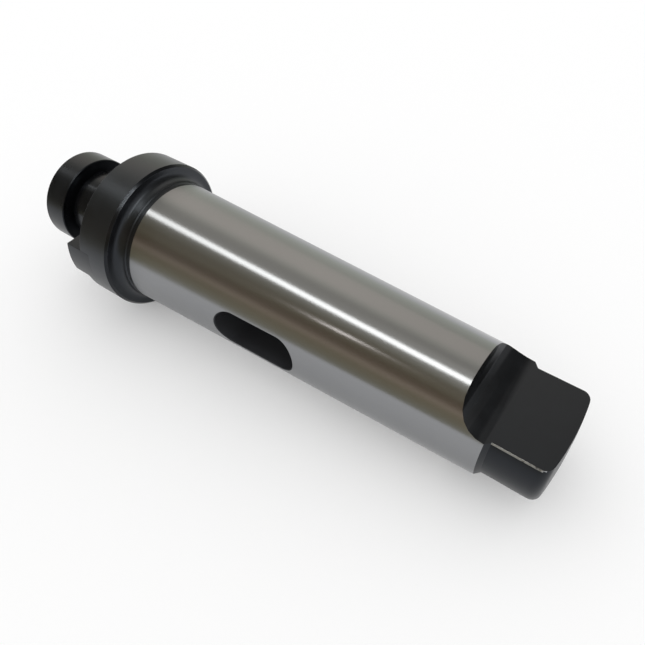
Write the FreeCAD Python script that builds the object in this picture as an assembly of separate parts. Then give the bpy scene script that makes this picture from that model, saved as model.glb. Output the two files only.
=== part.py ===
import FreeCAD, Part

import math
import os

# Face mill arbor with a number 5 self-holding taper shank, lying along X.
# The origin is the middle of the gauge plane, the shank runs towards +X and the
# pilot towards -X. The tang flats face up and down, the cross slot runs along Y.
# All sizes are millimetres.

# Taper shank, tang and cross slot
gauge_diameter = 44.399
taper_on_diameter = 1.0 / 19.002
gauge_to_tang_end = 148.6
ground_start_before_gauge = 0.7
tang_side_step = 1.542
tang_length = 19.1
tang_thickness = 15.7
tang_runout_radius = 10.0
tang_corner_radius = 3.0
tang_crown_radius = 110.0
tang_edge_break = 0.4
slot_width = 14.0
slot_length = 31.2
slot_start_from_gauge = 36.8
slot_edge_break = 0.4

# Neck between the flange and the ground taper
gauge_to_flange = 6.5
neck_fillet_radius = 3.0
neck_relief_width = 2.4
neck_relief_depth = 0.35

# Flange that carries the cutter
flange_diameter = 55.0
flange_thickness = 14.0
flange_edge_chamfer = 0.8

# Pilot that centres the cutter
pilot_diameter = 27.0
pilot_length = 21.0
pilot_chamfer = 1.0
pilot_relief_width = 2.2
pilot_relief_depth = 0.3

# Retaining screw and its tapped hole
retaining_thread = 12.0
retaining_shank_length = 30.0
retaining_head_diameter = 34.5
retaining_head_height = 9.8
retaining_head_chamfer = 0.6
retaining_socket_across_flats = 10.0
retaining_socket_depth = 6.0
retaining_gap_to_pilot = 0.5
retaining_hole_spare_depth = 4.0
retaining_hole_mouth = 14.0
thread_fit_clearance = 0.05
thread_end_chamfer = 1.2

# Drive keys, one each side of the flange, seated in slots across its face
key_width = 12.0
key_height = 6.3
key_seat_depth = 5.0
key_inner_clearance = 0.7
key_fit_clearance = 0.02
key_edge_chamfer = 0.3

# Cap screws that hold the keys
key_screw_thread = 5.0
key_screw_shank_length = 12.0
key_screw_head_diameter = 8.5
key_screw_head_height = 5.0
key_screw_head_chamfer = 0.4
key_screw_socket_across_flats = 4.0
key_screw_socket_depth = 2.5
key_screw_head_sink = 0.5
key_screw_head_clearance = 0.25
key_screw_hole_clearance = 0.25
key_screw_hole_spare_depth = 1.0

# Centre hole in the end of the tang, left from grinding between centres
centre_hole_mouth = 8.5
centre_hole_drill = 4.0
centre_hole_drill_depth = 5.0

# Places along X that follow from the sizes above
pilot_radius = pilot_diameter / 2
flange_radius = flange_diameter / 2
ground_start = -ground_start_before_gauge
flange_rear = -gauge_to_flange
flange_front = flange_rear - flange_thickness
pilot_front = flange_front - pilot_length
tang_shoulder = gauge_to_tang_end - tang_length
past_surface = 5.0
drill_tip_half_angle = math.radians(59)
centre_half_angle = math.radians(30)

axis_x = FreeCAD.Vector(1, 0, 0)
axis_y = FreeCAD.Vector(0, 1, 0)
towards_pilot = FreeCAD.Vector(-1, 0, 0)
origin = FreeCAD.Vector(0, 0, 0)


def cone_radius(x):
    """Radius of the ground taper at x."""
    return (gauge_diameter - taper_on_diameter * x) / 2


tang_radius = cone_radius(tang_shoulder) - tang_side_step


def crown_x(radius):
    """Place of the domed tang end at a radius from the axis."""
    sag = tang_crown_radius - math.sqrt(tang_crown_radius ** 2 - radius ** 2)
    return gauge_to_tang_end - sag


def tang_corner():
    """Centre of the rounding between the tang's side and its domed end, and where it meets the dome."""
    reach = tang_crown_radius - tang_corner_radius
    up = tang_radius - tang_corner_radius
    along = math.sqrt(reach ** 2 - up ** 2)
    centre = (gauge_to_tang_end - tang_crown_radius + along, up)
    return centre, math.degrees(math.atan2(up, along))


def outline_edges(steps):
    """Edges in the XZ plane. A step is a point, or a point on an arc and its end."""
    edges = []
    here = FreeCAD.Vector(steps[0][0], 0, steps[0][1])
    for step in steps[1:]:
        if len(step) == 2:
            there = FreeCAD.Vector(step[0], 0, step[1])
            edges.append(Part.LineSegment(here, there).toShape())
        else:
            middle = FreeCAD.Vector(step[0], 0, step[1])
            there = FreeCAD.Vector(step[2], 0, step[3])
            edges.append(Part.Arc(here, middle, there).toShape())
        here = there
    return edges


def turned(steps):
    """Solid made by turning a closed outline about the X axis."""
    return Part.Face(Part.Wire(outline_edges(steps))).revolve(origin, axis_x, 360)


def point_on_arc(centre, radius, angle_deg):
    """Point of an arc, at an angle about its centre in the XZ plane."""
    angle = math.radians(angle_deg)
    return (centre[0] + radius * math.cos(angle), centre[1] + radius * math.sin(angle))


def hexagon_prism(across_flats, start, depth, centre_y=0.0):
    """Hexagonal prism that starts at x and goes towards +X."""
    corner = across_flats / math.sqrt(3)
    points = []
    for side in range(7):
        angle = math.radians(60 * side)
        across, up = corner * math.cos(angle), corner * math.sin(angle)
        points.append(FreeCAD.Vector(start, centre_y + across, up))
    return Part.Face(Part.makePolygon(points)).extrude(axis_x * depth)


def rod(radius, start, length, centre_y=0.0):
    """Cylinder along X from start towards +X."""
    return Part.makeCylinder(radius, length, FreeCAD.Vector(start, centre_y, 0), axis_x)


def drilled_hole(radius, mouth, depth, centre_y=0.0):
    """Blind hole along +X with the cone that the drill leaves."""
    tip = radius / math.tan(drill_tip_half_angle)
    cone = Part.makeCone(radius, 0, tip, FreeCAD.Vector(mouth + depth, centre_y, 0), axis_x)
    return rod(radius, mouth - past_surface, depth + past_surface, centre_y).fuse(cone)


def turned_blank():
    """The arbor as it leaves the lathe and the grinder."""
    fillet_centre = (flange_rear + neck_fillet_radius, cone_radius(ground_start) + neck_fillet_radius)
    fillet_middle = point_on_arc(fillet_centre, neck_fillet_radius, 225)
    relief_end = ground_start - neck_relief_depth
    relief_start = ground_start - neck_relief_width
    neck_radius = cone_radius(ground_start)
    corner_centre, corner_end_deg = tang_corner()
    corner_middle = point_on_arc(corner_centre, tang_corner_radius, (90 + corner_end_deg) / 2)
    corner_end = point_on_arc(corner_centre, tang_corner_radius, corner_end_deg)
    crown_middle = corner_end[1] / 2
    return turned([
        (pilot_front, 0),
        (pilot_front, pilot_radius - pilot_chamfer),
        (pilot_front + pilot_chamfer, pilot_radius),
        (flange_front - pilot_relief_width - pilot_relief_depth, pilot_radius),
        (flange_front - pilot_relief_width, pilot_radius - pilot_relief_depth),
        (flange_front, pilot_radius - pilot_relief_depth),
        (flange_front, flange_radius - flange_edge_chamfer),
        (flange_front + flange_edge_chamfer, flange_radius),
        (flange_rear - flange_edge_chamfer, flange_radius),
        (flange_rear, flange_radius - flange_edge_chamfer),
        (flange_rear, neck_radius + neck_fillet_radius),
        (*fillet_middle, flange_rear + neck_fillet_radius, neck_radius),
        (relief_start, neck_radius),
        (relief_start + neck_relief_depth, neck_radius - neck_relief_depth),
        (relief_end, neck_radius - neck_relief_depth),
        (ground_start, neck_radius),
        (tang_shoulder, cone_radius(tang_shoulder)),
        (tang_shoulder + tang_side_step, tang_radius),
        (corner_centre[0], tang_radius),
        (*corner_middle, *corner_end),
        (crown_x(crown_middle), crown_middle, gauge_to_tang_end, 0),
        (pilot_front, 0),
    ])


def tang_cutter(side):
    """Space that the milling of one tang flat takes away, with its concave run-out."""
    flat = tang_thickness / 2
    outside = gauge_diameter / 2 + past_surface
    arc_centre = (tang_shoulder, flat + tang_runout_radius)
    arc_middle = point_on_arc(arc_centre, tang_runout_radius, 225)
    wall = tang_shoulder - tang_runout_radius
    steps = [
        (gauge_to_tang_end + past_surface, flat),
        (tang_shoulder, flat),
        (*arc_middle, wall, flat + tang_runout_radius),
        (wall, outside),
        (gauge_to_tang_end + past_surface, outside),
        (gauge_to_tang_end + past_surface, flat),
    ]
    face = Part.Face(Part.Wire(outline_edges(steps)))
    face.translate(FreeCAD.Vector(0, -outside, 0))
    cutter = face.extrude(axis_y * (2 * outside))
    if side < 0:
        cutter = cutter.mirror(origin, FreeCAD.Vector(0, 0, 1))
    return cutter


def cross_slot_cutter():
    """Round-ended slot along Y, for the cotter that draws the shank in or drives it out."""
    half_width = slot_width / 2
    first = slot_start_from_gauge + half_width
    last = slot_start_from_gauge + slot_length - half_width
    steps = [
        (first, -half_width),
        (last, -half_width),
        (last + half_width, 0, last, half_width),
        (first, half_width),
        (first - half_width, 0, first, -half_width),
    ]
    face = Part.Face(Part.Wire(outline_edges(steps)))
    face.translate(FreeCAD.Vector(0, -gauge_diameter, 0))
    return face.extrude(axis_y * (2 * gauge_diameter))


def edges_on_slot_mouths(body):
    """Edges where the cross slot meets the outside of the taper."""
    found = []
    half_width = slot_width / 2
    slot_end = slot_start_from_gauge + slot_length
    for edge in body.Edges:
        box = edge.BoundBox
        in_length = box.XMin > slot_start_from_gauge - 0.01 and box.XMax < slot_end + 0.01
        in_width = box.ZMin > -half_width - 0.01 and box.ZMax < half_width + 0.01
        on_outside = max(abs(box.YMin), abs(box.YMax)) > cone_radius(slot_end) * 0.9
        one_side = box.YMin * box.YMax > 0
        if in_length and in_width and on_outside and one_side:
            found.append(edge)
    return found


def edges_along_tang(body):
    """Straight edges where the tang flats meet its round sides."""
    flat = tang_thickness / 2
    found = []
    for edge in body.Edges:
        box = edge.BoundBox
        on_flat = abs(abs(box.ZMin) - flat) < 0.01 and box.ZMax - box.ZMin < 0.01
        along = box.YMax - box.YMin < 0.01 and box.XMax - box.XMin > tang_length / 2
        if on_flat and along and box.XMin > tang_shoulder:
            found.append(edge)
    return found


def retaining_hole_cutter():
    """Tapped hole in the pilot, with a countersunk mouth."""
    depth = retaining_shank_length - retaining_gap_to_pilot + retaining_hole_spare_depth
    mouth_depth = (retaining_hole_mouth - retaining_thread) / 2
    mouth = Part.makeCone(retaining_hole_mouth / 2 + past_surface, retaining_thread / 2,
                          mouth_depth + past_surface,
                          FreeCAD.Vector(pilot_front - past_surface, 0, 0), axis_x)
    return drilled_hole(retaining_thread / 2, pilot_front, depth).fuse(mouth)


def centre_hole_cutter():
    """Sixty degree centre in the end of the tang."""
    cone_depth = (centre_hole_mouth - centre_hole_drill) / 2 / math.tan(centre_half_angle)
    cone_start = gauge_to_tang_end - cone_depth
    widened = centre_hole_mouth / 2 + past_surface * math.tan(centre_half_angle)
    cone = Part.makeCone(centre_hole_drill / 2, widened, cone_depth + past_surface,
                         FreeCAD.Vector(cone_start, 0, 0), axis_x)
    drill = rod(centre_hole_drill / 2, cone_start - centre_hole_drill_depth, centre_hole_drill_depth + 1)
    return cone.fuse(drill)


key_seat_floor = flange_front + key_seat_depth
key_front = flange_front - key_height
key_inner_end = pilot_radius + key_inner_clearance
key_middle = (key_inner_end + flange_radius) / 2
key_screw_seat = key_front + key_screw_head_sink + key_screw_head_height


def key_block(width, inner_end, front, outer_radius):
    """Block that reaches from near the pilot to a radius, on the -Y side."""
    length = outer_radius - inner_end
    block = Part.makeBox(key_seat_floor - front, length, width,
                         FreeCAD.Vector(front, -outer_radius, -width / 2))
    return block.common(rod(outer_radius, front, key_seat_floor - front))


def key_slot_cutter():
    """Slot across the flange face for one key."""
    inner_end = key_inner_end - key_fit_clearance
    width = key_width + 2 * key_fit_clearance
    return key_block(width, inner_end, flange_front - past_surface, flange_radius + past_surface)


def key_screw_hole_cutter():
    """Tapped hole behind one key."""
    end = key_screw_seat + key_screw_shank_length
    depth = end - key_seat_floor + key_screw_hole_spare_depth
    return drilled_hole(key_screw_thread / 2, key_seat_floor, depth, -key_middle)


def to_other_side(shape):
    """The same shape half a turn about X."""
    turned_shape = shape.copy()
    turned_shape.rotate(origin, axis_x, 180)
    return turned_shape


def make_arbor_body():
    """Pilot, flange, neck, taper shank and tang, all one piece of steel."""
    body = turned_blank()
    body = body.cut(cross_slot_cutter())
    body = body.makeChamfer(slot_edge_break, edges_on_slot_mouths(body))
    for side in (1, -1):
        body = body.cut(tang_cutter(side))
    body = body.makeChamfer(tang_edge_break, edges_along_tang(body))
    for cutter in (key_slot_cutter(), key_screw_hole_cutter()):
        body = body.cut(cutter).cut(to_other_side(cutter))
    body = body.cut(retaining_hole_cutter())
    return body.cut(centre_hole_cutter())


def make_drive_key():
    """Key on the -Y side, its outer end turned flush with the flange."""
    key = key_block(key_width, key_inner_end, key_front, flange_radius)
    front_edges = [e for e in key.Edges if e.BoundBox.XMax < key_front + 0.01]
    key = key.makeChamfer(key_edge_chamfer, front_edges)
    head_radius = key_screw_head_diameter / 2 + key_screw_head_clearance
    shank_radius = key_screw_thread / 2 + key_screw_hole_clearance
    head_depth = key_screw_seat - key_front
    key = key.cut(rod(head_radius, key_front - past_surface, head_depth + past_surface, -key_middle))
    through = key_seat_floor - key_front + past_surface
    return key.cut(rod(shank_radius, key_front, through, -key_middle))


def socket_screw(thread, shank_length, head_diameter, head_height, head_chamfer,
                 socket_across_flats, socket_depth, seat, centre_y=0.0):
    """Socket screw along X. Its head is seated at x = seat and its shank goes towards +X."""
    head_front = seat - head_height
    head_radius = head_diameter / 2
    shank_radius = thread / 2 - thread_fit_clearance
    tip_chamfer = thread_end_chamfer * thread / retaining_thread
    screw = turned([
        (head_front, 0),
        (head_front, head_radius - head_chamfer),
        (head_front + head_chamfer, head_radius),
        (seat - head_chamfer / 2, head_radius),
        (seat, head_radius - head_chamfer / 2),
        (seat, shank_radius),
        (seat + shank_length - tip_chamfer, shank_radius),
        (seat + shank_length, shank_radius - tip_chamfer),
        (seat + shank_length, 0),
        (head_front, 0),
    ])
    screw.translate(axis_y * centre_y)
    return screw.cut(hexagon_prism(socket_across_flats, head_front, socket_depth, centre_y))


def make_key_screw():
    """Cap screw of the key on the -Y side."""
    return socket_screw(key_screw_thread, key_screw_shank_length, key_screw_head_diameter,
                        key_screw_head_height, key_screw_head_chamfer, key_screw_socket_across_flats,
                        key_screw_socket_depth, key_screw_seat, -key_middle)


def make_retaining_screw():
    """Large-headed screw that holds the cutter on the pilot, a little way out of its seat."""
    return socket_screw(retaining_thread, retaining_shank_length, retaining_head_diameter,
                        retaining_head_height, retaining_head_chamfer, retaining_socket_across_flats,
                        retaining_socket_depth, pilot_front - retaining_gap_to_pilot)


def main():
    os.makedirs("parts", exist_ok=True)
    key = make_drive_key()
    key_screw = make_key_screw()
    nodes = {
        "arbor_body": make_arbor_body(),
        "drive_key_a": key,
        "drive_key_b": to_other_side(key),
        "key_screws": Part.Compound([key_screw, to_other_side(key_screw)]),
        "retaining_screw": make_retaining_screw(),
    }
    for name, shape in nodes.items():
        shape.exportStep(f"parts/{name}.step")
        print(name, len(shape.Solids), "solids", round(shape.Volume, 1), "mm3", shape.isValid())


main()
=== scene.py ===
import math

import bmesh
import bpy
from mathutils import Matrix, Vector


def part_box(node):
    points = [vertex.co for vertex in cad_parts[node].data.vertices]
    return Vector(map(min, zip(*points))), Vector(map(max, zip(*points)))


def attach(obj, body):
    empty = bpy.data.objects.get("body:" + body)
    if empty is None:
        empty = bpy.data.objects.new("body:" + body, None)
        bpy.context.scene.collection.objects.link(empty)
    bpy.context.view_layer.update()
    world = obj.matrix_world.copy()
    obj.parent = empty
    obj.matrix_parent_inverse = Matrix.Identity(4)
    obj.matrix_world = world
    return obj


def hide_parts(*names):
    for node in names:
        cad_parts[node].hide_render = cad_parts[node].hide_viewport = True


bl_info = {
    "name": "Face Mill Arbor",
    "version": (1, 0, 0),
    "blender": (4, 5, 0),
    "location": "3D View > Sidebar > Arbor",
    "description": "Dresses the packed frame of a face mill arbor with a number 5 self-holding taper",
    "category": "Object",
}

# The frame lies along X: pilot and screw towards -X, tang towards +X, tang flats up and down
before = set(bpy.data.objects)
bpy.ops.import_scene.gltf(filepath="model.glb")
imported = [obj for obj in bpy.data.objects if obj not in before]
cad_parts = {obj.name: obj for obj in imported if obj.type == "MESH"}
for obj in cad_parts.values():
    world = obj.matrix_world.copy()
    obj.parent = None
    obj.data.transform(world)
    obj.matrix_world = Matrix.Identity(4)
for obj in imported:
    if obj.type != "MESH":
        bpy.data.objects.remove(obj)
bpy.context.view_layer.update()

MM = 0.001
ROUND_STEPS = 256               # steps round the body and the retaining screw
SMALL_STEPS = 96                # steps round the cap screws and the small holes
ARC_STEP = math.radians(15)     # longest step of a rounding in an outline
SHARP_ANGLE = math.radians(40)  # edges sharper than this stay crisp
PAST = 5 * MM                   # how far a cutter reaches past what it cuts
WELD = 0.0001 * MM              # points nearer than this are one point
THREAD_DEPTH = 0.6134           # depth of a screw's thread for each unit of pitch
HOLE_RIDGE = 0.35 * MM          # how far the thread stands out of the tapped hole's wall
SUNK = 0.05 * MM                # how deep a thread's ridge is sunk into the piece that carries it
TAPER, TURNED, MILLED, SMOOTH, WORN, SLOT_GREY = range(6)  # slots of the body's finishes

body_low, body_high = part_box("arbor_body")
key_low, key_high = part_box("drive_key_a")
cap_low, cap_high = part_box("key_screws")
screw_low, screw_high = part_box("retaining_screw")


def length(name, description, millimetres):
    """A size that a user may change, in the scene's metres."""
    return bpy.props.FloatProperty(name=name, description=description, default=millimetres * MM,
                                   min=0, precision=5, unit="LENGTH", subtype="DISTANCE")


def turn(name, description, degrees):
    """An angle that a user may change, in radians."""
    return bpy.props.FloatProperty(name=name, description=description, default=math.radians(degrees),
                                   unit="ROTATION", subtype="ANGLE")


def linear(hex_code):
    """Linear colour with alpha from an sRGB hex value."""
    channels = [int(hex_code[start:start + 2], 16) / 255 for start in (1, 3, 5)]
    curve = [c / 12.92 if c <= 0.04045 else ((c + 0.055) / 1.055) ** 2.4 for c in channels]
    return (*curve, 1.0)


def tint(name, description, hex_code):
    """A colour that a user may change."""
    return bpy.props.FloatVectorProperty(name=name, description=description, default=linear(hex_code),
                                         min=0, max=1, size=4, subtype="COLOR")


class ArborSizes(bpy.types.PropertyGroup):
    """Sizes of the one-piece body: pilot, flange, neck, taper, cross slot and tang."""
    gauge_diameter: length("Gauge diameter", "Diameter of the taper at the origin", 44.399)
    taper_per_length: bpy.props.FloatProperty(
        name="Taper", description="Loss of diameter for each unit of length", default=1 / 19.002,
        precision=5)
    ground_start: length("Ground start", "How far the ground taper starts before the origin", 0.7)
    tang_shoulder: length("Tang shoulder", "From the origin to the end of the taper", 129.5)
    tang_diameter: length("Tang diameter", "Diameter of the tang's round sides", 34.5)
    tang_thickness: length("Tang thickness", "Distance between the two flats", 15.7)
    tang_runout: length("Tang run-out", "Radius that the milling cutter leaves at the flats", 10)
    tang_corner: length("Tang corner", "Rounding at the end of the tang", 3)
    tang_crown: length("Tang crown", "Radius of the domed end", 110)
    tang_edge: length("Tang edge", "Rounding of the long edges of the flats", 0.5)
    slot_start: length("Slot start", "From the origin to the cross slot", 36.8)
    slot_length: length("Slot length", "Length of the cross slot", 31.2)
    slot_width: length("Slot width", "Width of the cross slot", 14)
    slot_rim: length("Slot rim", "Rounding of the cross slot's mouths", 0.45)
    flange_rear: length("Flange rear", "How far the flange's rear face is before the origin", 6.5)
    flange_front: length("Flange front", "How far the flange's front face is before the origin", 20.5)
    flange_chamfer: length("Flange chamfer", "Chamfer of the flange's rims", 0.8)
    neck_fillet: length("Neck fillet", "Fillet behind the flange", 3)
    relief_width: length("Relief width", "Width of the grinding relief in the neck", 2.4)
    relief_depth: length("Relief depth", "Depth of the grinding relief in the neck", 0.35)
    pilot_diameter: length("Pilot diameter", "Diameter that centres the cutter", 27)
    pilot_chamfer: length("Pilot chamfer", "Chamfer of the pilot's rim", 1)
    pilot_relief_width: length("Pilot relief width", "Width of the relief at the pilot's root", 2.2)
    pilot_relief_depth: length("Pilot relief depth", "Depth of the relief at the pilot's root", 0.3)
    hole_depth: length("Hole depth", "Depth of the tapped hole in the pilot", 33.5)
    hole_mouth: length("Hole mouth", "Diameter of the tapped hole's countersink", 14)
    centre_mouth: length("Centre mouth", "Diameter of the centre in the tang's end", 8.5)
    centre_drill: length("Centre drill", "Diameter of the small drill of the centre", 4)
    centre_drill_depth: length("Centre drill depth", "Depth of the small drill beyond the cone", 5)
    edge_break: length("Edge break", "Small rounding that every turned edge has", 0.15)


class FastenerSizes(bpy.types.PropertyGroup):
    """Sizes of the keys, the retaining screw and the cap screws."""
    retaining_thread: length("Retaining thread", "Thread diameter of the retaining screw", 12)
    retaining_pitch: length("Retaining pitch", "Thread pitch of the retaining screw", 1.75)
    retaining_head: length("Retaining head", "Height of the retaining screw's head", 9.8)
    retaining_chamfer: length("Retaining chamfer", "Chamfer of the retaining screw's head", 0.6)
    retaining_socket: length("Retaining socket", "Hexagon of the retaining screw across flats", 10)
    retaining_socket_depth: length("Retaining socket depth", "Depth of that hexagon", 6)
    cap_thread: length("Cap thread", "Thread diameter of the key's cap screw", 5)
    cap_pitch: length("Cap pitch", "Thread pitch of the key's cap screw", 0.8)
    cap_head: length("Cap head", "Height of the cap screw's head", 5)
    cap_head_diameter: length("Cap head diameter", "Diameter of the cap screw's head", 8.5)
    cap_chamfer: length("Cap chamfer", "Chamfer of the cap screw's head", 0.4)
    cap_socket: length("Cap socket", "Hexagon of the cap screw across flats", 4)
    cap_socket_depth: length("Cap socket depth", "Depth of that hexagon", 2.5)
    cap_clearance: length("Cap clearance", "Room round the cap screw's head and shank", 0.25)
    key_chamfer: length("Key chamfer", "Chamfer of the key's front edges", 0.3)
    key_corner: length("Key corner", "Small rounding of all the key's edges", 0.08)
    key_fit: length("Key fit", "Room between a key and its seat", 0.02)
    thread_clearance: length("Thread clearance", "Room between a screw and its plain hole", 0.05)


class FinishColours(bpy.types.PropertyGroup):
    """Colours of the finishes."""
    ground: tint("Ground steel", "Bare ground steel of the taper", "#8d8e90")
    turned_black: tint("Turned black", "Black oxide on turned faces", "#070708")
    milled_black: tint("Milled black", "Black oxide on milled faces", "#08080a")
    screw_black: tint("Screw black", "Black oxide on the screws", "#060608")
    oxide_sheen: tint("Oxide sheen", "Lighter bloom in the black oxide", "#111215")
    # Dull dark grey inside the cross slot, lighter than the black oxide
    slot_grey: tint("Slot grey", "Dull lighter grey inside the cross slot", "#2a2a2c")
    worn_edge: tint("Worn edge", "Steel that shows where an edge has lost its oxide", "#a2a4a8")


class StageSettings(bpy.types.PropertyGroup):
    """Camera, floor and the strips of light and dark that the steel mirrors."""
    lens: bpy.props.FloatProperty(name="Lens", description="Focal length on a 36 mm sensor, in millimetres",
                                  default=35.721)
    camera_place: bpy.props.FloatVectorProperty(
        name="Camera place", description="Where the camera stands", size=3, unit="LENGTH",
        subtype="TRANSLATION", default=(0.14689, -0.11405, 0.15499))
    camera_azimuth: turn("Camera azimuth", "Direction the camera looks, from +Y towards -X", 35.67)
    camera_elevation: turn("Camera elevation", "How far the camera looks down", 48.03)
    camera_roll: turn("Camera roll", "Small turn of the camera about its view", -0.13)
    floor_size: length("Floor size", "Width of the pale floor", 6000)
    tunnel_radius: length("Tunnel radius", "Distance of the mirrored strips from the axis", 900)
    tunnel_length: length("Tunnel length", "Length of the mirrored strips", 3600)
    lamp_strength: bpy.props.FloatProperty(name="Lamp strength", description="Brightness of the lamps",
                                           default=5.2)


def new_object(name, bm):
    """Object at the origin that holds a finished bmesh, with its faces pointing out of the solid."""
    bmesh.ops.recalc_face_normals(bm, faces=bm.faces)
    if bm.calc_volume(signed=True) < 0:
        bmesh.ops.reverse_faces(bm, faces=bm.faces)
    mesh = bpy.data.meshes.new(name)
    bm.to_mesh(mesh)
    bm.free()
    piece = bpy.data.objects.new(name, mesh)
    bpy.context.scene.collection.objects.link(piece)
    return piece


def rounded(corners, closed=False):
    """Points of an outline from (across, up, radius) corners. A radius makes the corner an arc."""
    points = []
    for index, (across, up, radius) in enumerate(corners):
        here = Vector((across, up))
        open_end = not closed and index in (0, len(corners) - 1)
        if open_end or radius == 0:
            points.append(here)
            continue
        back = (Vector(corners[index - 1][:2]) - here).normalized()
        ahead = (Vector(corners[(index + 1) % len(corners)][:2]) - here).normalized()
        half = back.angle(ahead) / 2
        centre = here + (back + ahead).normalized() * (radius / math.sin(half))
        first = here + back * (radius / math.tan(half)) - centre
        last = here + ahead * (radius / math.tan(half)) - centre
        sweep = math.copysign(math.pi - 2 * half, first.cross(last))
        steps = max(2, round(abs(sweep) / ARC_STEP))
        for step in range(steps + 1):
            points.append(centre + Matrix.Rotation(sweep * step / steps, 2) @ first)
    return points


def lathe(name, corners, steps=ROUND_STEPS):
    """Closed solid from an outline of (x, radius, rounding) corners, spun about the X axis."""
    bm = bmesh.new()
    verts = [bm.verts.new((x, 0, radius)) for x, radius in rounded(corners)]
    edges = [bm.edges.new(pair) for pair in zip(verts, verts[1:])]
    bmesh.ops.spin(bm, geom=verts + edges, cent=(0, 0, 0), axis=(1, 0, 0), dvec=(0, 0, 0),
                   angle=math.tau, steps=steps, use_merge=True, use_normal_flip=False, use_duplicate=False)
    bmesh.ops.remove_doubles(bm, verts=bm.verts, dist=WELD)
    return new_object(name, bm)


def prism(name, corners, depth, place):
    """Closed solid from a closed outline, extruded half its depth each way and then placed."""
    bm = bmesh.new()
    face = bm.faces.new([bm.verts.new((u, v, -depth / 2)) for u, v in rounded(corners, closed=True)])
    grown = bmesh.ops.extrude_face_region(bm, geom=[face])["geom"]
    moved = [item for item in grown if isinstance(item, bmesh.types.BMVert)]
    bmesh.ops.translate(bm, verts=moved, vec=(0, 0, depth))
    bmesh.ops.transform(bm, matrix=place, verts=bm.verts)
    return new_object(name, bm)


# Placings of a prism: its outline in the XZ plane and depth along Y, or outline in YZ and depth along X
ALONG_Y = Matrix.Rotation(math.pi / 2, 4, "X")
ALONG_X = Matrix(((0, 0, 1, 0), (1, 0, 0, 0), (0, 1, 0, 0), (0, 0, 0, 1)))
HALF_TURN = Matrix.Rotation(math.pi, 4, "X")


def turned_copy(piece, matrix):
    """Copy of an object with its mesh turned."""
    bm = bmesh.new()
    bm.from_mesh(piece.data)
    bmesh.ops.transform(bm, matrix=matrix, verts=bm.verts)
    return new_object(piece.name + "_turned", bm)


def drop(piece):
    """Removes a helper object and its mesh."""
    mesh = piece.data
    bpy.data.objects.remove(piece)
    bpy.data.meshes.remove(mesh)


def apply_modifiers(piece):
    """Replaces a piece's mesh by what its modifiers make of it."""
    bpy.context.view_layer.update()
    before = piece.data
    seen = piece.evaluated_get(bpy.context.evaluated_depsgraph_get())
    piece.data = bpy.data.meshes.new_from_object(seen)
    piece.modifiers.clear()
    bpy.data.meshes.remove(before)


def carve(piece, cutters):
    """Takes the cutters out of a piece, and drops them."""
    for cutter in cutters:
        cut = piece.modifiers.new("cut", "BOOLEAN")
        cut.operation = "DIFFERENCE"
        cut.solver = "EXACT"
        cut.object = cutter
    apply_modifiers(piece)
    for cutter in cutters:
        drop(cutter)


def shade(piece):
    """Smooth shading with crisp edges, where broad faces keep their own normals."""
    mesh = piece.data
    mesh.shade_smooth()
    mesh.set_sharp_from_angle(angle=SHARP_ANGLE)
    weighted = piece.modifiers.new("broad faces first", "WEIGHTED_NORMAL")
    weighted.keep_sharp = True
    apply_modifiers(piece)
    piece.data.name = piece.name


def join_solids(name, parts):
    """One object that holds several closed solids."""
    bm = bmesh.new()
    for part in parts:
        bm.from_mesh(part.data)
        drop(part)
    return new_object(name, bm)


def thread_ridge(name, root, crest, pitch, start, end, tip_chamfer=0, steps_per_turn=48):
    """Helical ridge of a sixty degree thread about the X axis, from its root radius to its crest."""
    crest_half = pitch / 16
    root_half = crest_half + abs(crest - root) * math.tan(math.radians(30))
    bm = bmesh.new()
    section = [(-root_half, root), (-crest_half, crest), (crest_half, crest), (root_half, root)]
    face = bm.faces.new([bm.verts.new((start + x, 0, radius)) for x, radius in section])
    turns = (end - start) / pitch
    steps = round(turns * steps_per_turn)
    bmesh.ops.spin(bm, geom=[*face.verts, *face.edges, face], cent=(0, 0, 0), axis=(1, 0, 0),
                   dvec=((end - start) / steps, 0, 0), angle=turns * math.tau, steps=steps,
                   use_merge=False, use_normal_flip=False, use_duplicate=False)
    bmesh.ops.remove_doubles(bm, verts=bm.verts, dist=WELD)
    open_edges = [edge for edge in bm.edges if edge.is_boundary]
    bmesh.ops.holes_fill(bm, edges=open_edges, sides=0)
    for vert in bm.verts if tip_chamfer else ():
        radius = math.hypot(vert.co.y, vert.co.z)
        limit = crest - max(0, vert.co.x - (end - tip_chamfer))
        if radius > limit:
            vert.co.y *= limit / radius
            vert.co.z *= limit / radius
    return new_object(name, bm)


def socket_cutter(name, front, across_flats, depth):
    """Hexagonal recess along +X with a coned mouth and a slightly coned bottom."""
    corner = across_flats / math.sqrt(3)
    mouth_radius = corner * 1.06
    inner_radius = across_flats * 0.49
    mouth_depth = across_flats * 0.09
    rim_depth = depth - across_flats * 0.1
    point_depth = depth + across_flats * 0.13
    bm = bmesh.new()
    middle = front + (depth - PAST) / 2
    place = Matrix.Translation((middle, 0, 0)) @ Matrix.Rotation(math.pi / 2, 4, "Y")
    bmesh.ops.create_cone(bm, cap_ends=True, cap_tris=False, segments=6, radius1=corner, radius2=corner,
                          depth=depth + PAST, matrix=place @ Matrix.Rotation(math.pi / 6, 4, "Z"))
    hexagon = new_object(name, bm)
    mouth = lathe(name + "_mouth", [
        (front - PAST, 0, 0),
        (front - PAST, mouth_radius + PAST, 0),
        (front + mouth_depth, inner_radius, 0),
        (front + mouth_depth, 0, 0),
    ], SMALL_STEPS)
    bottom = lathe(name + "_bottom", [
        (front + rim_depth, 0, 0),
        (front + rim_depth, inner_radius, 0),
        (front + depth, inner_radius, 0),
        (front + point_depth, 0, 0),
    ], SMALL_STEPS)
    return [hexagon, mouth, bottom]


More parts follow.
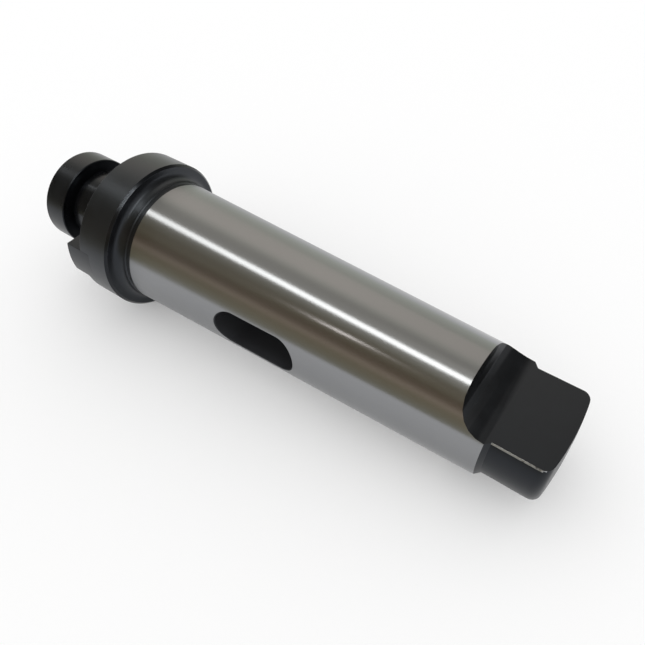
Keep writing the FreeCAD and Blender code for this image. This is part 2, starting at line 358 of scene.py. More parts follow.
def socket_screw(name, sizes, kind, front, head_radius, tip, steps):
    """Socket screw along X with its head in front and a threaded shank. Kind starts its sizes' names."""
    head, chamfer, thread, pitch, socket, socket_depth = (
        getattr(sizes, kind + size)
        for size in ("_head", "_chamfer", "_thread", "_pitch", "_socket", "_socket_depth"))
    seat = front + head
    crest = thread / 2 - sizes.thread_clearance
    root = thread / 2 - THREAD_DEPTH * pitch
    tip_chamfer = crest - root + 0.1 * pitch
    front_round, seat_round, neck_round = chamfer / 4, chamfer / 5, pitch / 4
    tip_run, tip_drop, tip_round = 0.02 * MM, 0.1 * MM, 0.05 * MM
    blank = lathe(name, [
        (front, 0, 0),
        (front, head_radius - chamfer, front_round),
        (front + chamfer, head_radius, front_round),
        (seat - chamfer / 2, head_radius, seat_round),
        (seat, head_radius - chamfer / 2, seat_round),
        (seat, crest, 0),
        (seat + pitch, crest, neck_round),
        (seat + pitch + (crest - root), root, neck_round),
        (tip - tip_run, root, tip_round),
        (tip, root - tip_drop, tip_round),
        (tip, 0, 0),
    ], steps)
    carve(blank, socket_cutter(name + "_socket", front, socket, socket_depth))
    ridge = thread_ridge(name + "_thread", root - SUNK, crest, pitch, seat + pitch, tip - pitch / 2,
                         tip_chamfer)
    return join_solids(name, [blank, ridge])


def add_node(tree, kind, settings=None, links=None):
    """Adds a shader node, sets its fields and sockets, and links sources into its sockets."""
    node = tree.nodes.new("ShaderNode" + kind)
    for key, value in (settings or {}).items():
        if isinstance(key, str) and hasattr(node, key):
            setattr(node, key, value)
        else:
            node.inputs[key].default_value = value
    for key, source in (links or {}).items():
        tree.links.new(source, node.inputs[key])
    return node


def new_material(name):
    """Material with an empty node tree."""
    material = bpy.data.materials.new(name)
    material.use_nodes = True
    material.node_tree.nodes.clear()
    return material, material.node_tree


def show(tree, shader):
    """Ends a node tree with the shader that the surface shows."""
    add_node(tree, "OutputMaterial", {}, {"Surface": shader.outputs[0]})


def object_place(tree):
    """Place of a point on its object, in metres."""
    return add_node(tree, "TexCoord").outputs["Object"]


def noise(tree, place, scale, detail, roughness=0.5):
    """Grey noise at a place."""
    return add_node(tree, "TexNoise", {"Scale": scale, "Detail": detail, "Roughness": roughness},
                    {"Vector": place}).outputs[0]


def mixed(tree, first, second, share):
    """Colour between two others."""
    return add_node(tree, "Mix", {"data_type": "RGBA", 6: tuple(first), 7: tuple(second)},
                    {"Factor": share}).outputs[2]


def ground_steel(colours):
    """Ground alloy steel. The wheel's fine lines run round the taper, so that light mirrors sharply
    round it and is drawn out along the axis."""
    material, tree = new_material("ground_alloy_steel")
    place = object_place(tree)
    line_pitch, line_reach, bloom_size, line_height = 0.3 * MM, 12 * MM, 35 * MM, 0.0002 * MM
    stretched = add_node(tree, "Mapping", {"Scale": (1 / line_pitch, 1 / line_reach, 1 / line_reach)},
                         {"Vector": place})
    lines = noise(tree, stretched.outputs[0], 1.0, 2.0, 0.6)
    bloom = noise(tree, place, 1 / bloom_size, 2.0)
    roughness = add_node(tree, "MapRange", {"To Min": 0.27, "To Max": 0.29}, {"Value": lines})
    darker = [channel * 0.94 for channel in colours.ground[:3]]
    colour = mixed(tree, (*darker, 1), colours.ground, bloom)
    bump = add_node(tree, "Bump", {"Strength": 1.0, "Distance": line_height}, {"Height": lines})
    along = add_node(tree, "CombineXYZ", {"X": 1.0})
    surface = add_node(tree, "BsdfPrincipled", {"Metallic": 1.0, "Anisotropic": 1.0},
                       {"Base Color": colour, "Roughness": roughness.outputs[0],
                        "Normal": bump.outputs[0], "Tangent": along.outputs[0]})
    show(tree, surface)
    return material


def turning_marks(pitch):
    """Maker of noise that runs in rings about the X axis, as the feed of a lathe leaves."""
    def marks(tree, place):
        parts = add_node(tree, "SeparateXYZ", {}, {"Vector": place})
        flat = add_node(tree, "CombineXYZ", {}, {"Y": parts.outputs["Y"], "Z": parts.outputs["Z"]})
        radius = add_node(tree, "VectorMath", {"operation": "LENGTH"}, {0: flat.outputs[0]})
        ring = add_node(tree, "CombineXYZ", {}, {"X": parts.outputs["X"], "Y": radius.outputs["Value"]})
        return noise(tree, ring.outputs[0], 1 / pitch, 1.5)
    return marks


def milling_marks(tree, place):
    """Noise in short strokes along the Y axis, as a milling cutter leaves."""
    stroke_width, stroke_length = 0.5 * MM, 4 * MM
    crossing = add_node(tree, "Mapping", {"Scale": (1 / stroke_width, 1 / stroke_length, 1 / stroke_width)},
                        {"Vector": place})
    return noise(tree, crossing.outputs[0], 1.0, 3.0)


def black_oxide(name, base, sheen, marks, height, roughness, ior, coat=0.0):
    """Black oxide: a thin dark conversion layer that keeps the tool marks, with a trace of oil."""
    material, tree = new_material(name)
    place = object_place(tree)
    cloud_size = 6 * MM
    cloud = noise(tree, place, 1 / cloud_size, 4.0, 0.6)
    soft = add_node(tree, "MapRange", {"From Min": 0.35, "From Max": 0.75, "To Max": 0.6}, {"Value": cloud})
    colour = mixed(tree, base, sheen, soft.outputs[0])
    worn = add_node(tree, "MapRange", {"To Min": roughness - 0.05, "To Max": roughness + 0.07},
                    {"Value": cloud})
    bump = add_node(tree, "Bump", {"Strength": 1.0, "Distance": height}, {"Height": marks(tree, place)})
    surface = add_node(tree, "BsdfPrincipled",
                       {"Metallic": 0.0, "IOR": ior, "Specular Tint": (0.8, 0.88, 1.0, 1.0),
                        "Coat Weight": coat, "Coat Roughness": 0.12},
                       {"Base Color": colour, "Roughness": worn.outputs[0], "Normal": bump.outputs[0]})
    show(tree, surface)
    return material


def turned_oxide(colours):
    """Black oxide over turning: faint rings and a dull, even gleam."""
    return black_oxide("black_oxide_turned_steel", colours.turned_black, colours.oxide_sheen,
                       turning_marks(0.4 * MM), height=0.001 * MM, roughness=0.33, ior=1.5)


def ground_oxide(colours):
    """Black oxide over grinding or fine finishing: smooth, so that lamps show as thin crisp lines."""
    return black_oxide("black_oxide_ground_steel", colours.turned_black, colours.oxide_sheen,
                       turning_marks(0.3 * MM), height=0.0004 * MM, roughness=0.2, ior=1.36, coat=0.05)


def milled_oxide(colours):
    """Black oxide over milling: darker than the turned faces, with short crossing marks."""
    return black_oxide("black_oxide_milled_steel", colours.milled_black, colours.oxide_sheen,
                       milling_marks, height=0.003 * MM, roughness=0.3, ior=1.4)


def screw_oxide(colours):
    """Black oxide on an alloy steel screw: smooth, a little bluer and shinier than the body."""
    return black_oxide("black_oxide_screw_steel", colours.screw_black, colours.oxide_sheen,
                       turning_marks(0.3 * MM), height=0.0008 * MM, roughness=0.28, ior=1.38)


def slot_grey(colours):
    """Dull dark grey inside the slot, lighter than the black oxide, that drinks most of the light."""
    return black_oxide("heat_scale_in_slot", colours.slot_grey, colours.slot_grey,
                       turning_marks(1.2 * MM), height=0.004 * MM, roughness=0.5, ior=1.4)


def bare_edge(colours):
    """Steel of an edge whose oxide has rubbed off: it gleams in broken patches."""
    material, tree = new_material("worn_steel_edge")
    place = object_place(tree)
    patch_size = 1.6 * MM
    patches = noise(tree, place, 1 / patch_size, 3.0, 0.6)
    share = add_node(tree, "MapRange", {"From Min": 0.25, "From Max": 0.45}, {"Value": patches})
    colour = mixed(tree, colours.oxide_sheen, colours.worn_edge, share.outputs[0])
    surface = add_node(tree, "BsdfPrincipled", {"Metallic": 1.0, "Roughness": 0.3}, {"Base Color": colour})
    show(tree, surface)
    return material


def dress(piece, materials, body, node):
    """Gives a finished piece its finishes, ties it to its body and hides the CAD node that it stands in
    for.
    """
    piece.data.materials.clear()
    for material in materials:
        piece.data.materials.append(material)
    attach(piece, body)
    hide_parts(node)


def cone_radius(sizes, x):
    """Radius of the ground taper at a place along the axis."""
    return (sizes.gauge_diameter - sizes.taper_per_length * x) / 2


def crown_x(sizes, radius):
    """Place of the tang's domed end at a distance from the axis."""
    top = body_high.x + sizes.tang_crown - math.sqrt(sizes.tang_crown ** 2 - (sizes.centre_mouth / 2) ** 2)
    return top - sizes.tang_crown + math.sqrt(sizes.tang_crown ** 2 - radius ** 2)


def body_outline(sizes, thread):
    """Corners of the body's outline, from the bottom of the tapped hole round to the tang's centre."""
    edge = sizes.edge_break
    root_corner, taper_edge, shoulder_edge = 0.4 * MM, 0.05 * MM, 0.1 * MM
    drill_point, centre_slope = math.radians(59), math.radians(30)
    pilot_front = body_low.x
    hole = thread / 2 + HOLE_RIDGE
    mouth = sizes.hole_mouth / 2
    pilot = sizes.pilot_diameter / 2
    flange = body_high.z
    relief = pilot - sizes.pilot_relief_depth
    relief_x = -sizes.flange_front - sizes.pilot_relief_width
    neck = cone_radius(sizes, -sizes.ground_start)
    neck_relief_x = -sizes.ground_start - sizes.relief_width
    shoulder = cone_radius(sizes, sizes.tang_shoulder)
    tang = sizes.tang_diameter / 2
    hole_end = pilot_front + sizes.hole_depth
    drill = sizes.centre_drill / 2
    cone_bottom = crown_x(sizes, sizes.centre_mouth / 2) \
        - (sizes.centre_mouth - sizes.centre_drill) / 2 / math.tan(centre_slope)
    dome_rings = [tang * share for share in (0.75, 0.6, 0.45, 0.3)]
    return [
        (hole_end + hole / math.tan(drill_point), 0, 0),
        (hole_end, hole, 0),
        (pilot_front + mouth - hole, hole, 0),
        (pilot_front, mouth, edge),
        (pilot_front, pilot - sizes.pilot_chamfer, edge),
        (pilot_front + sizes.pilot_chamfer, pilot, edge),
        (relief_x - sizes.pilot_relief_depth, pilot, edge / 2),
        (relief_x, relief, edge / 2),
        (-sizes.flange_front, relief, root_corner),
        (-sizes.flange_front, flange - sizes.flange_chamfer, edge),
        (-sizes.flange_front + sizes.flange_chamfer, flange, edge),
        (-sizes.flange_rear - sizes.flange_chamfer, flange, edge),
        (-sizes.flange_rear, flange - sizes.flange_chamfer, edge),
        (-sizes.flange_rear, neck, sizes.neck_fillet),
        (neck_relief_x, neck, edge / 2),
        (neck_relief_x + sizes.relief_depth, neck - sizes.relief_depth, edge / 2),
        (-sizes.ground_start - sizes.relief_depth, neck - sizes.relief_depth, edge / 2),
        (-sizes.ground_start, neck, taper_edge),
        (sizes.tang_shoulder, shoulder, shoulder_edge),
        (sizes.tang_shoulder + shoulder - tang, tang, edge),
        (crown_x(sizes, tang), tang, sizes.tang_corner),
        *((crown_x(sizes, ring), ring, 0) for ring in dome_rings),
        (crown_x(sizes, sizes.centre_mouth / 2), sizes.centre_mouth / 2, edge),
        (cone_bottom, drill, 0),
        (cone_bottom - sizes.centre_drill_depth, drill, 0),
        (cone_bottom - sizes.centre_drill_depth, 0, 0),
    ]


def tang_flat_cutter(sizes):
    """What milling takes away above the tang, with the round run-out of the cutter."""
    flat = sizes.tang_thickness / 2
    end = body_high.x + PAST
    wall = sizes.tang_shoulder - sizes.tang_runout
    above = body_high.z + PAST
    return prism("tang_flat_cutter", [
        (end, flat, 0),
        (wall, flat, sizes.tang_runout),
        (wall, above, 0),
        (end, above, 0),
    ], 2 * above, ALONG_Y)


def tang_edge_cutter(sizes, side, face):
    """Rounds one long edge of the tang. Side is the sign of Y, face the sign of Z."""
    radius = sizes.tang_diameter / 2
    flat = sizes.tang_thickness / 2
    across = math.sqrt(radius ** 2 - flat ** 2)
    lift = math.radians(8)  # the cut leaves both faces at a small angle
    reach = 3 * MM
    down = math.atan2(-across, flat) + lift
    inner = (across - reach * math.cos(lift), flat + reach * math.sin(lift))
    outer = (across + reach * math.cos(down), flat + reach * math.sin(down))
    corners = [
        (*inner, 0),
        (across, flat, sizes.tang_edge),
        (*outer, 0),
        (outer[0] + reach, flat + reach, 0),
        (inner[0], flat + reach, 0),
    ]
    start = sizes.tang_shoulder + cone_radius(sizes, sizes.tang_shoulder) - radius
    depth = body_high.x + PAST - start
    place = Matrix.Translation((start + depth / 2, 0, 0)) @ ALONG_X
    return prism("tang_edge_cutter", [(u * side, v * face, r) for u, v, r in corners], depth, place)


def cross_slot_cutter(sizes):
    """Slot through the taper along Y, with both mouths flared to a small rounding."""
    segments = 64
    rim_degrees = (18, 36, 54, 70)
    half = sizes.slot_width / 2
    centres = {-1: sizes.slot_start + half, 1: sizes.slot_start + sizes.slot_length - half}
    flare = [(0, sizes.slot_rim)]
    for degrees in rim_degrees:
        angle = math.radians(degrees)
        flare.append((sizes.slot_rim * (1 - math.cos(angle)), sizes.slot_rim * (1 - math.sin(angle))))
    flare.append((flare[-1][0], -PAST))
    stations = [(-1, *stage) for stage in reversed(flare)] + [(1, *stage) for stage in flare]
    bm = bmesh.new()
    loops = []
    for side, offset, depth in stations:
        made = bmesh.ops.create_circle(bm, cap_ends=False, radius=1, segments=segments,
                                       matrix=Matrix.Rotation(math.pi / segments, 4, "Z"))
        for vert in made["verts"]:
            across, up = vert.co.x, vert.co.y
            x = centres[1 if across > 0 else -1] + (half + offset) * across
            z = (half + offset) * up / math.cos(math.pi / segments)
            surface = math.sqrt(cone_radius(sizes, x) ** 2 - z ** 2)
            vert.co = (x, side * (surface - depth), z)
        loops.append({edge for vert in made["verts"] for edge in vert.link_edges})
    for near, far in zip(loops, loops[1:]):
        bmesh.ops.bridge_loops(bm, edges=list(near | far))
    bmesh.ops.holes_fill(bm, edges=[edge for edge in bm.edges if edge.is_boundary], sides=0)
    return new_object("cross_slot_cutter", bm)


def key_seat_cutter(fasteners):
    """Slot across the flange face for the key on the -Y side."""
    fit = fasteners.key_fit
    outer, inner, half = key_low.y - PAST, key_high.y + fit, key_high.z + fit
    outline = [(outer, -half, 0), (inner, -half, 0), (inner, half, 0), (outer, half, 0)]
    depth = key_high.x - key_low.x + PAST
    place = Matrix.Translation((key_high.x - depth / 2, 0, 0)) @ ALONG_X
    return prism("key_seat_cutter", outline, depth, place)


def exact_taper_normals(mesh, sizes):
    """Points the normals of the taper's faces straight out of the true cone."""
    slope = sizes.taper_per_length / 2
    normals = [corner.vector.copy() for corner in mesh.corner_normals]
    for face in mesh.polygons:
        if face.material_index != TAPER:
            continue
        for loop in face.loop_indices:
            place = mesh.vertices[mesh.loops[loop].vertex_index].co
            radius = math.hypot(place.y, place.z)
            normals[loop] = Vector((slope, place.y / radius, place.z / radius)).normalized()
    mesh.normals_split_custom_set(normals)


def body_finish(sizes, centre):
    """Slot of the finish of a face of the body, from the middle of the face."""
    slack, cone_slack, start_slack, rim_slack = 0.05 * MM, 0.03 * MM, 0.1 * MM, 0.02 * MM
    flat_slack = 0.6 * MM
    edge_reach = sizes.tang_edge * 0.75
    radius = math.hypot(centre.y, centre.z)
    cone = cone_radius(sizes, centre.x)
    past_shoulder = centre.x > sizes.tang_shoulder + slack
    past_start = centre.x > -sizes.ground_start - start_slack
    if past_start and not past_shoulder and abs(radius - cone) < cone_slack:
        return TAPER
    half = sizes.tang_thickness / 2
    across = math.sqrt((sizes.tang_diameter / 2) ** 2 - half ** 2)
    from_edge = math.hypot(abs(centre.y) - across, abs(centre.z) - half)
    if from_edge < edge_reach and sizes.tang_shoulder < centre.x < body_high.x - MM:
        return WORN
    on_pilot = centre.x < -sizes.flange_front - slack
    rim = sizes.flange_chamfer / 2
    on_rim = centre.x < 0 and abs(radius - body_high.z + rim) < rim - rim_slack
    if on_pilot or on_rim:
        return SMOOTH
    if past_shoulder:
        return MILLED
    wall = sizes.tang_shoulder - sizes.tang_runout
    # Faces inside the cross slot get the dull grey, which is lighter than the black oxide
    if abs(centre.z) < sizes.slot_width / 2 + sizes.slot_rim and 0 < centre.x < wall:
        return SLOT_GREY
    on_runout = centre.x > wall - start_slack and radius < cone - slack
    return MILLED if on_runout and abs(centre.z) > half - flat_slack else TURNED


class ARBOR_OT_body(bpy.types.Operator):
    """Build the one-piece body with its pilot, flange, taper, cross slot and tang"""
    bl_idname = "arbor.body"
    bl_label = "Arbor body"

    def execute(self, context):
        sizes = context.scene.arbor_sizes
        fasteners = context.scene.arbor_fasteners
        colours = context.scene.arbor_colours
        blank = lathe("arbor_body_turned", body_outline(sizes, fasteners.retaining_thread))
        flat = tang_flat_cutter(sizes)
        seat = key_seat_cutter(fasteners)
        edges = [tang_edge_cutter(sizes, side, face) for side in (1, -1) for face in (1, -1)]
        carve(blank, [flat, turned_copy(flat, HALF_TURN), *edges, seat, turned_copy(seat, HALF_TURN),
                      cross_slot_cutter(sizes)])
        thread = fasteners.retaining_thread / 2
        start = body_low.x + sizes.hole_mouth / 2 - thread
        ridge = thread_ridge("hole_thread", thread + HOLE_RIDGE + SUNK, thread, fasteners.retaining_pitch,
                             start, body_low.x + sizes.hole_depth)
        body = join_solids("arbor_body_finished", [blank, ridge])
        shade(body)
        finishes = {TAPER: ground_steel, TURNED: turned_oxide, MILLED: milled_oxide, SMOOTH: ground_oxide,
                    WORN: bare_edge, SLOT_GREY: slot_grey}
        dress(body, [finishes[slot](colours) for slot in sorted(finishes)], "arbor", "arbor_body")
        for face in body.data.polygons:
            face.material_index = body_finish(sizes, face.center)
        exact_taper_normals(body.data, sizes)
        return {"FINISHED"}


class ARBOR_OT_drive_keys(bpy.types.Operator):
    """Build the two drive keys that sit in the flange face"""
    bl_idname = "arbor.drive_keys"
    bl_label = "Drive keys"

    def execute(self, context):
        fasteners = context.scene.arbor_fasteners
        finish = milled_oxide(context.scene.arbor_colours)
        key = drive_key(fasteners)
        other = turned_copy(key, HALF_TURN)
        key.name = "drive_key_near"
        other.name = "drive_key_far"
        for piece, node in ((key, "drive_key_a"), (other, "drive_key_b")):
            shade(piece)
            dress(piece, [finish], "arbor", node)
        return {"FINISHED"}


def drive_key(fasteners):
    """Key on the -Y side: outer end flush with the flange, front edges chamfered, counterbored."""
    outer = body_high.z
    half = key_high.z
    arc_steps = 16
    crisp_angle = math.radians(25)
    heights = [half - 2 * half * step / arc_steps for step in range(arc_steps + 1)]
    arc = [(-math.sqrt(outer ** 2 - z ** 2), z) for z in heights]
    outline = [(key_high.y, -half), (key_high.y, half), *arc]
    bm = bmesh.new()
    face = bm.faces.new([bm.verts.new((key_high.x, y, z)) for y, z in outline])
    grown = bmesh.ops.extrude_face_region(bm, geom=[face])["geom"]
    front = [item for item in grown if isinstance(item, bmesh.types.BMVert)]
    bmesh.ops.translate(bm, verts=front, vec=(key_low.x - key_high.x, 0, 0))
    bmesh.ops.recalc_face_normals(bm, faces=bm.faces)
    bevel(bm, [edge for edge in bm.edges if all(vert.co.x < key_low.x + MM for vert in edge.verts)],
          fasteners.key_chamfer, 1)
    bevel(bm, [edge for edge in bm.edges if edge.calc_face_angle() > crisp_angle], fasteners.key_corner, 2)
    key = new_object("drive_key", bm)
    carve(key, [counterbore_cutter(fasteners)])
    return key


def bevel(bm, edges, offset, segments):
    """Cuts edges back by an offset."""
    bmesh.ops.bevel(bm, geom=edges, offset=offset, offset_type="OFFSET", segments=segments, profile=0.5,
                    affect="EDGES", material=-1)


def counterbore_cutter(fasteners):
    """Hole for the cap screw: head room, seat and shank room, with a lightly coned mouth."""
    head = fasteners.cap_head_diameter / 2 + fasteners.cap_clearance
    shank = fasteners.cap_thread / 2 + fasteners.cap_clearance
    seat = cap_low.x + fasteners.cap_head
    cone = 0.3 * MM
    cutter = lathe("counterbore_cutter", [
        (key_low.x - PAST, 0, 0),
        (key_low.x - PAST, head + cone + PAST, 0),
        (key_low.x + cone, head, 0),
        (seat, head, 0),
        (seat, shank, 0),
        (key_high.x + PAST, shank, 0),
        (key_high.x + PAST, 0, 0),
    ], SMALL_STEPS)
    cutter.data.transform(Matrix.Translation((0, -cap_centre(fasteners), 0)))
    return cutter


def cap_centre(fasteners):
    """Distance of a cap screw from the axis."""
    return cap_high.y - fasteners.cap_head_diameter / 2


class ARBOR_OT_cap_screws(bpy.types.Operator):
    """Build the two cap screws that hold the keys"""
    bl_idname = "arbor.cap_screws"
    bl_label = "Cap screws"

    def execute(self, context):
        sizes = context.scene.arbor_fasteners
        screw = socket_screw("cap_screw", sizes, "cap", cap_low.x, sizes.cap_head_diameter / 2, cap_high.x,
                             SMALL_STEPS)
        screw.data.transform(Matrix.Translation((0, -cap_centre(sizes), 0)))
        screws = join_solids("key_cap_screws", [screw, turned_copy(screw, HALF_TURN)])
        shade(screws)
        dress(screws, [screw_oxide(context.scene.arbor_colours)], "arbor", "key_screws")
        return {"FINISHED"}


class ARBOR_OT_retaining_screw(bpy.types.Operator):
    """Build the large-headed screw that holds the cutter on the pilot"""
    bl_idname = "arbor.retaining_screw"
    bl_label = "Retaining screw"

    def execute(self, context):
        sizes = context.scene.arbor_fasteners
        screw = socket_screw("cutter_retaining_screw", sizes, "retaining", screw_low.x, screw_high.z,
                             screw_high.x, ROUND_STEPS)
        shade(screw)
        dress(screw, [screw_oxide(context.scene.arbor_colours)], "retaining_screw", "retaining_screw")
        return {"FINISHED"}


# Walls that the steel mirrors: screen, material, strength, and stops of (degrees from straight up
# towards the camera's side, colour)
LAMP_WHITE = "#fffffb"
PAINTED_WALLS = (
    ("pale_screen", "pale_wall_and_ceiling", 1.2, (
        (-95, "#e1e6da"), (-65, "#dcdbce"), (-56, "#f8f0e5"), (-31, "#faf2e7"), (-23, "#e2e0d4"),
        (-15, "#c0bdb4"), (8, "#b0aca3"))),
    ("brown_screen", "brown_wall_with_shelves", 1.0, (
        (8, "#b0aca3"), (20, "#9f9b8c"), (27, "#99947f"), (35.6, "#928872"), (44, "#9b917a"),
        (52, "#867861"), (60, "#927f6b"), (69, "#c9b6a1"), (77, "#ab9e83"), (96, "#a29d85"))),
)


def pale_board():
    """Matt white board. Camera, mirror and glass rays see it lifted to white where nothing shades it."""
    paint_grey, lift_to_white = 0.8, 0.2
    material, tree = new_material("matt_white_board")
    path = add_node(tree, "LightPath")
    seen = path.outputs["Is Camera Ray"]
    for ray in ("Is Glossy Ray", "Is Transmission Ray"):
        seen = add_node(tree, "Math", {"operation": "MAXIMUM"}, {0: seen, 1: path.outputs[ray]}).outputs[0]
    lift = add_node(tree, "Math", {"operation": "MULTIPLY", 1: lift_to_white}, {0: seen})
    paint = add_node(tree, "BsdfDiffuse", {"Color": (paint_grey, paint_grey, paint_grey, 1)})
    glow = add_node(tree, "Emission", {"Color": (1, 1, 1, 1)}, {"Strength": lift.outputs[0]})
    both = add_node(tree, "AddShader", {}, {0: paint.outputs[0], 1: glow.outputs[0]})
    show(tree, both)
    return material


def strip_material(name, strength, stops):
    """Paint of a curved screen, from one (degrees, colour) stop to the next."""
    low, high = stops[0][0], stops[-1][0]
    material, tree = new_material(name)
    place = object_place(tree)
    parts = add_node(tree, "SeparateXYZ", {}, {"Vector": place})
    front = add_node(tree, "Math", {"operation": "MULTIPLY", 1: -1.0}, {0: parts.outputs["Y"]})
    angle = add_node(tree, "Math", {"operation": "ARCTAN2"}, {0: front.outputs[0], 1: parts.outputs["Z"]})
    share = add_node(tree, "MapRange", {"From Min": math.radians(low), "From Max": math.radians(high)},
                     {"Value": angle.outputs[0]})
    ramp = add_node(tree, "ValToRGB", {}, {"Fac": share.outputs[0]})
    elements = ramp.color_ramp.elements
    for position, (degrees, hex_code) in enumerate(stops):
        spot = elements[position] if position < 2 else elements.new(1.0)
        spot.position = (degrees - low) / (high - low)
        spot.color = linear(hex_code)
    glow = add_node(tree, "Emission", {"Strength": strength}, {"Color": ramp.outputs[0]})
    show(tree, glow)
    return material


def curved_screen(name, radius, degrees, along, material):
    """Part of a tunnel round the arbor that only mirrors see, between two angles and two places."""
    low, high = degrees
    widest_step = 3
    bm = bmesh.new()
    verts = [bm.verts.new((x, 0, radius)) for x in along]
    edge = bm.edges.new(verts)
    bmesh.ops.rotate(bm, verts=verts, cent=(0, 0, 0), matrix=Matrix.Rotation(math.radians(low), 3, "X"))
    steps = max(1, round((high - low) / widest_step))
    bmesh.ops.spin(bm, geom=[*verts, edge], cent=(0, 0, 0), axis=(1, 0, 0), dvec=(0, 0, 0),
                   angle=math.radians(high - low), steps=steps, use_merge=False,
                   use_normal_flip=False, use_duplicate=False)
    only_mirrored(new_object(name, bm), material)


def only_mirrored(screen, material):
    """Stage piece that shows in reflections alone."""
    screen.data.materials.append(material)
    for ray in ("camera", "diffuse", "shadow", "transmission"):
        setattr(screen, "visible_" + ray, False)


def plain_panel(name, corners, material):
    """Flat four-cornered panel that only mirrors see."""
    bm = bmesh.new()
    bm.faces.new([bm.verts.new(corner) for corner in corners])
    only_mirrored(new_object(name, bm), material)


def lamp_strip(name, first, last, width, faced, material):
    """Straight lamp between two points, turned to face a third, all in millimetres."""
    first, last = Vector(first) * MM, Vector(last) * MM
    aside = (last - first).cross((first + last) / 2 - Vector(faced) * MM).normalized() * (width * MM / 2)
    plain_panel(name, [first - aside, last - aside, last + aside, first + aside], material)


def plain_glow(name, hex_code, strength):
    """Evenly bright colour of a lamp or a far wall."""
    material, tree = new_material(name)
    glow = add_node(tree, "Emission", {"Color": linear(hex_code), "Strength": strength})
    show(tree, glow)
    return material


def floor_place():
    """Tilt and height of the floor, just below the flange's rim and the tang's end."""
    gap = 0.1 * MM
    flange_x = key_high.x / 2
    tang_radius = bpy.context.scene.arbor_sizes.tang_diameter / 2
    slope = math.atan2(body_high.z - tang_radius, body_high.x - flange_x)
    return Matrix.Translation((flange_x, 0, -body_high.z - gap)) @ Matrix.Rotation(-slope, 4, "Y")


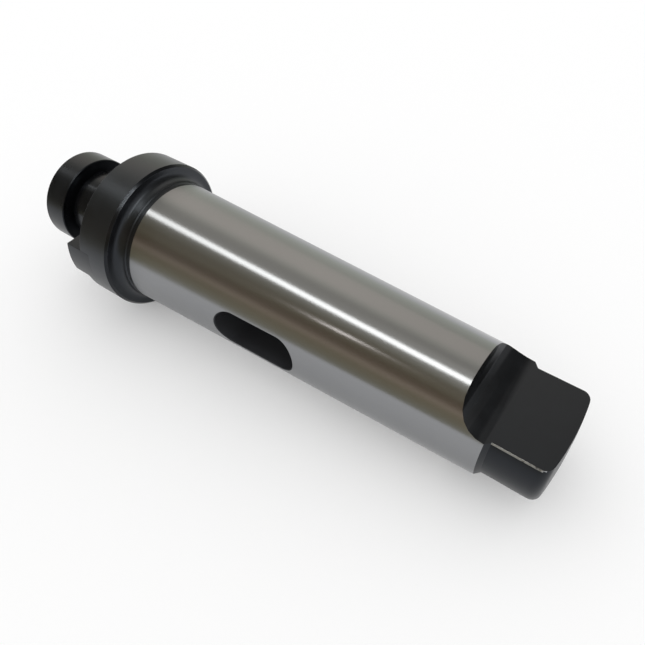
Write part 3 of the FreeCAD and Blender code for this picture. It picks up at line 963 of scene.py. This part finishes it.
class ARBOR_OT_stage(bpy.types.Operator):
    """Set up the floor, the light and the camera"""
    bl_idname = "arbor.stage"
    bl_label = "Stage"

    def execute(self, context):
        stage = context.scene.arbor_stage
        self.add_floor(stage)
        self.add_screens(stage)
        self.add_flat_lamps(stage)
        self.add_furniture(stage)
        self.add_camera(context.scene, stage)
        self.add_world(context.scene)
        context.scene.view_settings.view_transform = "Standard"
        return {"FINISHED"}

    def add_floor(self, stage):
        """Pale floor under the arbor."""
        bm = bmesh.new()
        bmesh.ops.create_grid(bm, x_segments=1, y_segments=1, size=stage.floor_size / 2)
        bmesh.ops.transform(bm, matrix=floor_place(), verts=bm.verts)
        floor = new_object("floor", bm)
        floor.data.materials.append(pale_board())

    def add_screens(self, stage):
        """Curved walls, shelves and tube lamps of the room that the steel mirrors."""
        radius = stage.tunnel_radius
        reach = stage.tunnel_length / 2
        tube = plain_glow("white_tube_light", LAMP_WHITE, stage.lamp_strength)
        shelves = plain_glow("dark_shelves", "#6e695d", 1.0)
        for name, material, strength, stops in PAINTED_WALLS:
            curved_screen(name, radius, (stops[0][0], stops[-1][0]), (-reach, reach),
                          strip_material(material, strength, stops))
        for name, material, share, degrees, along in (
                ("far_shelves", shelves, 0.98, (18, 92), (-2.0, -0.88)),
                ("tube_lamp", tube, 0.95, (8, 16.5), (-0.8, 0.67)),
                ("far_tube_lamp", tube, 0.95, (2.5, 5), (-1.6, -0.85))):
            curved_screen(name, radius * share, degrees, [radius * place for place in along], material)

    def add_flat_lamps(self, stage):
        """Lamp beside the tubes for the flange's rims, and a narrow one for the tang's edge."""
        for name, colour, brightness, first, last, width, faced in (
                ("side_lamp", LAMP_WHITE, 4.5, (550, 92, 586), (591, -260, 472), 45, (0, 0, 0)),
                ("near_strip", "#fff6f0", 1.6, (69, -28.5, 33.2), (80, -26.6, 34.9), 1.4, (78, -13, 16))):
            lamp_strip(name, first, last, width, faced,
                       plain_glow(name + "_light", colour, brightness * stage.lamp_strength))

    def add_furniture(self, stage):
        """Edge of the table in front of the floor, and a dark cabinet past the tang."""
        radius = stage.tunnel_radius
        reach = stage.tunnel_length / 2
        front, lift = -190 * MM, 1 * MM
        edge = [(-reach, front), (reach, front), (reach, -radius), (-reach, -radius)]
        plain_panel("table_edge", [floor_place() @ Vector((x, y, lift)) for x, y in edge],
                    plain_glow("brown_table_edge", "#a29d85", 1.0))
        side, near, foot = 250 * MM, 80 * MM, -25 * MM
        plain_panel("cabinet", [(side, near, foot), (side, radius, foot), (side, radius, radius),
                                (side, near, radius)], plain_glow("dark_cabinet", "#6c6a66", 1.0))

    def add_camera(self, scene, stage):
        """Camera at the photograph's angle."""
        camera = bpy.data.objects.new("camera", bpy.data.cameras.new("camera"))
        scene.collection.objects.link(camera)
        camera.data.sensor_width = 36
        camera.data.lens = stage.lens
        camera.data.clip_start = 1 * MM
        level = math.cos(stage.camera_elevation)
        forward = Vector((-math.sin(stage.camera_azimuth) * level, math.cos(stage.camera_azimuth) * level,
                          -math.sin(stage.camera_elevation)))
        aim = forward.to_track_quat("-Z", "Y").to_matrix().to_4x4()
        camera.matrix_world = Matrix.Translation(stage.camera_place) @ aim \
            @ Matrix.Rotation(stage.camera_roll, 4, "Z")
        scene.camera = camera

    def add_world(self, scene):
        """Even white light from all round."""
        world = bpy.data.worlds.new("soft_white_room")
        world.use_nodes = True
        background = world.node_tree.nodes["Background"]
        background.inputs["Color"].default_value = (1, 1, 1, 1)
        background.inputs["Strength"].default_value = 1.0
        scene.world = world


class ARBOR_PT_sidebar(bpy.types.Panel):
    """Buttons that build the arbor, and its sizes"""
    bl_idname = "ARBOR_PT_sidebar"
    bl_label = "Face mill arbor"
    bl_space_type = "VIEW_3D"
    bl_region_type = "UI"
    bl_category = "Arbor"

    def draw(self, context):
        for operator in BUILD_ORDER:
            self.layout.operator(operator.bl_idname)
        for group in ("arbor_sizes", "arbor_fasteners", "arbor_colours", "arbor_stage"):
            settings = getattr(context.scene, group)
            box = self.layout.box()
            for name in settings.__annotations__:
                box.prop(settings, name)


BUILD_ORDER = (ARBOR_OT_body, ARBOR_OT_drive_keys, ARBOR_OT_cap_screws, ARBOR_OT_retaining_screw,
               ARBOR_OT_stage)
GROUPS = {"arbor_sizes": ArborSizes, "arbor_fasteners": FastenerSizes, "arbor_colours": FinishColours,
          "arbor_stage": StageSettings}


def register():
    for name, group in GROUPS.items():
        bpy.utils.register_class(group)
        setattr(bpy.types.Scene, name, bpy.props.PointerProperty(type=group))
    for item in (*BUILD_ORDER, ARBOR_PT_sidebar):
        bpy.utils.register_class(item)


def unregister():
    for item in (ARBOR_PT_sidebar, *reversed(BUILD_ORDER)):
        bpy.utils.unregister_class(item)
    for name, group in GROUPS.items():
        delattr(bpy.types.Scene, name)
        bpy.utils.unregister_class(group)


def main():
    register()
    bpy.ops.arbor.body()
    bpy.ops.arbor.drive_keys()
    bpy.ops.arbor.cap_screws()
    bpy.ops.arbor.retaining_screw()
    bpy.ops.arbor.stage()


if __name__ == "__main__":
    main()
